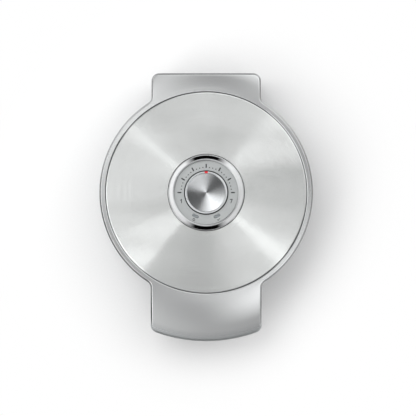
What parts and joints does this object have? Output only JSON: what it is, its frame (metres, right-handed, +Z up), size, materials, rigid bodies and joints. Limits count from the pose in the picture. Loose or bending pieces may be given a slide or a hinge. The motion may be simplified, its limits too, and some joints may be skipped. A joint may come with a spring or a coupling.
{
  "type": "waffle maker",
  "caption": "Round heart waffle maker with a brushed steel lid disc, a central heat dial, a curved front handle and a hinged lid.",
  "frame": {"origin": "On the table, at the bottom centre of the closed waffle maker's bounding box.", "axes": "+X to the right seen from the front, +Y to the rear where the hinge is, +Z up. The handle points to -Y."},
  "size_m": [0.24, 0.3016, 0.0912],
  "materials": {
    "silver_plastic": "satin silver lacquered moulding",
    "black_plastic": "fine matte black moulding",
    "nonstick_coating": "dark non-stick coating on cast metal",
    "brushed_steel": "circular brushed",
    "chrome": "bright plated",
    "dial_plastic": "printed light grey",
    "knob_plastic": "silver grey",
    "red_plastic": "red insert",
    "lens_plastic": "smoke grey light guide",
    "glass": "clear bulb",
    "rubber": "matte black",
    "zinc_steel": "zinc plated",
    "aluminised_sheet": "plain mill finish",
    "element_sheath": "dull heated sheath"
  },
  "bodies": {
    "base": {"base_shell": "silver_plastic", "base_pan": "black_plastic", "base_screws": "zinc_steel", "base_liner": "black_plastic", "lower_waffle_plate": "nonstick_coating", "lower_heating_element": "element_sheath", "lower_heat_shield": "aluminised_sheet", "lower_shield_screws": "zinc_steel", "lower_plate_screws": "zinc_steel", "foot_1": "rubber", "foot_2": "rubber", "foot_3": "rubber", "foot_4": "rubber", "cord_gland": "rubber", "terminal_block": "black_plastic", "inner_leads": "rubber", "thermal_fuse": "glass", "fuse_clip": "zinc_steel"},
    "rod": {"hinge_rod": "zinc_steel", "rod_clips": "zinc_steel"},
    "lid": {"lid_shell": "silver_plastic", "lid_liner": "black_plastic", "handle_underside": "black_plastic", "handle_screws": "zinc_steel", "lid_screws": "zinc_steel", "upper_waffle_plate": "nonstick_coating", "upper_heating_element": "element_sheath", "upper_heat_shield": "aluminised_sheet", "upper_shield_screws": "zinc_steel", "upper_plate_screws": "zinc_steel", "hinge_arm_left": "zinc_steel", "hinge_arm_right": "zinc_steel", "arm_screws": "zinc_steel", "cover_disc": "brushed_steel", "dial_bezel": "chrome", "dial_plate": "dial_plastic", "dial_housing": "black_plastic", "housing_screws": "zinc_steel", "power_lens": "lens_plastic", "ready_lens": "lens_plastic", "power_lamp": "glass", "ready_lamp": "glass", "thermostat": "zinc_steel", "thermostat_screws": "zinc_steel"},
    "knob": {"control_knob": "knob_plastic", "knob_cap": "brushed_steel", "knob_pointer": "red_plastic", "thermostat_shaft": "zinc_steel"}
  },
  "joints": [
    {"name": "lid_hinge", "type": "hinge", "parent": "base", "child": "rod", "pos_m": [0, 0.13985, 0.045], "axis": [-1, 0, 0], "range_deg": [0, 105]},
    {"name": "hinge_float", "type": "slide", "parent": "rod", "child": "lid", "axis": [0, 0, 1], "range_m": [0, 0.006]},
    {"name": "dial_turn", "type": "hinge", "parent": "lid", "child": "knob", "pos_m": [0, 0.01655, 0.085], "axis": [0, 0, 1], "range_deg": [-90, 90]}
  ]
}
